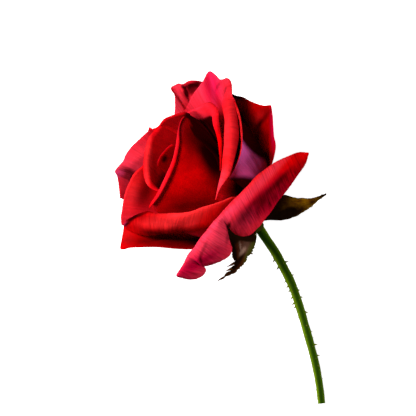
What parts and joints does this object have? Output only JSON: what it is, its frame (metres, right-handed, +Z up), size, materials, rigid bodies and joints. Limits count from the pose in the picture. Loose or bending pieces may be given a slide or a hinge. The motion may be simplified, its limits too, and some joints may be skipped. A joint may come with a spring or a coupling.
{
  "type": "cut rose",
  "caption": "Half-open red cut rose lying on its back, with one broad petal folded outwards, two brown-green sepals and a short curved stem with small prickles.",
  "frame": {"origin": "middle of the footprint of the lying flower, at table height", "axes": "+Z up from the table, +Y from the cut end of the stem towards the bloom, +X to the right as seen from above with the bloom at the top"},
  "size_m": [0.0854, 0.1338, 0.0582],
  "materials": {
    "petal": "velvety, satin sheen",
    "calyx": "matte, dry brown-green",
    "stem": "waxy green"
  },
  "bodies": {
    "root": {"calyx": "calyx", "petal_back_left": "petal", "petal_back_right": "petal", "petal_bud_back": "petal", "petal_bud_front": "petal", "petal_bud_left": "petal", "petal_heart_left": "petal", "petal_inner_left": "petal", "petal_inner_right": "petal", "petal_lower": "petal", "petal_outer_left": "petal", "petal_reflexed_front": "petal", "petal_right_outer": "petal", "petal_rim_right": "petal", "petal_rolled_front": "petal", "petal_tall_right": "petal", "petal_top": "petal", "stem": "stem"}
  },
  "joints": []
}
